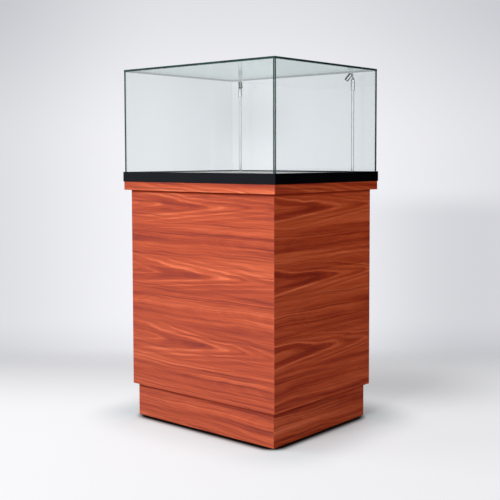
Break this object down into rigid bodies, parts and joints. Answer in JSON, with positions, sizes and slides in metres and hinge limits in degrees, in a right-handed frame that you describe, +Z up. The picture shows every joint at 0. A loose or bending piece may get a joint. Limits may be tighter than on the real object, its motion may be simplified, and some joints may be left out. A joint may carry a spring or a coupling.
{
  "type": "pedestal display case",
  "caption": "Free-standing display case: lift-off glass hood with stem lamps on a black frame and deck, over a wood-laminate pedestal with a recessed plinth and rear door.",
  "frame": {"origin": "on the floor under the middle of the case", "axes": "+Z up, -Y towards the front, which is the wider face; +X to the right seen from the front"},
  "size_m": [0.61, 0.508, 1.086],
  "materials": {
    "cherry_laminate": "satin cherry-red laminate with a horizontal cathedral grain",
    "pine": "planed softwood",
    "fibreboard": "raw fibreboard",
    "black_deck": "satin black laminate",
    "black_frame": "satin black paint",
    "soft_strip": "soft foam rubber",
    "clear_glass": "clear float glass with polished green edges",
    "zinc_steel": "bright zinc plate",
    "foot_plastic": "moulded black plastic on a steel stud",
    "black_plastic": "moulded black plastic",
    "lock_chrome": "polished chrome plate",
    "driver_case": "fine-textured white plastic",
    "lamp_chrome": "polished chrome plate",
    "lamp_steel": "satin steel",
    "lamp_lens": "clear lens",
    "lamp_led": "yellow phosphor on a pale board"
  },
  "bodies": {
    "pedestal": {"plinth_front": "cherry_laminate", "plinth_right": "cherry_laminate", "plinth_back": "cherry_laminate", "plinth_left": "cherry_laminate", "plinth_corner_blocks": "pine", "tee_nuts": "zinc_steel", "floor_panel": "fibreboard", "front_panel": "cherry_laminate", "right_panel": "cherry_laminate", "back_rails": "cherry_laminate", "back_stiles": "cherry_laminate", "left_panel": "cherry_laminate", "corner_battens": "pine", "hinge_frame_leaves": "zinc_steel", "hinge_pins": "zinc_steel", "hinge_frame_screws": "zinc_steel", "cable_outlet": "black_plastic", "collar_board": "cherry_laminate", "deck_board": "black_deck", "cabinet_screws": "zinc_steel", "frame_front": "black_frame", "frame_right": "black_frame", "frame_back": "black_frame", "frame_left": "black_frame", "glazing_strips": "soft_strip", "lamp_driver": "driver_case", "driver_screws": "zinc_steel", "lamp_nuts": "zinc_steel", "right_lamp_base": "lamp_chrome", "right_lamp_stem": "lamp_chrome", "left_lamp_base": "lamp_chrome", "left_lamp_stem": "lamp_chrome"},
    "hood": {"glass_front": "clear_glass", "glass_right": "clear_glass", "glass_back": "clear_glass", "glass_left": "clear_glass", "glass_top": "clear_glass"},
    "door": {"rear_door": "cherry_laminate", "hinge_door_leaves": "zinc_steel", "hinge_door_screws": "zinc_steel", "lock_barrel": "lock_chrome", "lock_nut": "zinc_steel"},
    "lock": {"lock_plug": "lock_chrome", "lock_cam": "zinc_steel"},
    "right_swivel": {"right_lamp_sleeve": "lamp_chrome", "right_lamp_arm": "lamp_steel", "right_lamp_pin": "lamp_steel"},
    "right_head": {"right_lamp_head": "lamp_chrome", "right_lamp_lens": "lamp_lens", "right_lamp_led": "lamp_led"},
    "left_swivel": {"left_lamp_sleeve": "lamp_chrome", "left_lamp_arm": "lamp_steel", "left_lamp_pin": "lamp_steel"},
    "left_head": {"left_lamp_head": "lamp_chrome", "left_lamp_lens": "lamp_lens", "left_lamp_led": "lamp_led"},
    "foot_front_left": {"foot_front_left": "foot_plastic"},
    "foot_front_right": {"foot_front_right": "foot_plastic"},
    "foot_back_left": {"foot_back_left": "foot_plastic"},
    "foot_back_right": {"foot_back_right": "foot_plastic"}
  },
  "joints": [
    {"name": "hood_lift", "type": "slide", "parent": "pedestal", "child": "hood", "axis": [0, 0, 1], "range_m": [0, 0.34]},
    {"name": "door_swing", "type": "hinge", "parent": "pedestal", "child": "door", "pos_m": [0.201, 0.2398, 0.41], "axis": [0, 0, -1], "range_deg": [0, 170]},
    {"name": "lock_turn", "type": "hinge", "parent": "door", "child": "lock", "pos_m": [-0.17, 0.236, 0.41], "axis": [0, -1, 0], "range_deg": [0, 90]},
    {"name": "right_lamp_pan", "type": "hinge", "parent": "pedestal", "child": "right_swivel", "pos_m": [0.233, 0.218, 1.04], "axis": [0, 0, 1], "range_deg": [-75, 75]},
    {"name": "right_lamp_tilt", "type": "hinge", "parent": "right_swivel", "child": "right_head", "pos_m": [0.22752, 0.21288, 1.07], "axis": [0.6832, -0.7302, 0], "range_deg": [-52, 13]},
    {"name": "left_lamp_pan", "type": "hinge", "parent": "pedestal", "child": "left_swivel", "pos_m": [-0.233, 0.218, 1.04], "axis": [0, 0, 1], "range_deg": [-75, 75]},
    {"name": "left_lamp_tilt", "type": "hinge", "parent": "left_swivel", "child": "left_head", "pos_m": [-0.22752, 0.21288, 1.07], "axis": [0.6832, 0.7302, 0], "range_deg": [-52, 13]},
    {"name": "foot_front_left_height", "type": "slide", "parent": "pedestal", "child": "foot_front_left", "axis": [0, 0, -1], "range_m": [0, 0.012]},
    {"name": "foot_front_right_height", "type": "slide", "parent": "pedestal", "child": "foot_front_right", "axis": [0, 0, -1], "range_m": [0, 0.012]},
    {"name": "foot_back_left_height", "type": "slide", "parent": "pedestal", "child": "foot_back_left", "axis": [0, 0, -1], "range_m": [0, 0.012]},
    {"name": "foot_back_right_height", "type": "slide", "parent": "pedestal", "child": "foot_back_right", "axis": [0, 0, -1], "range_m": [0, 0.012]}
  ]
}
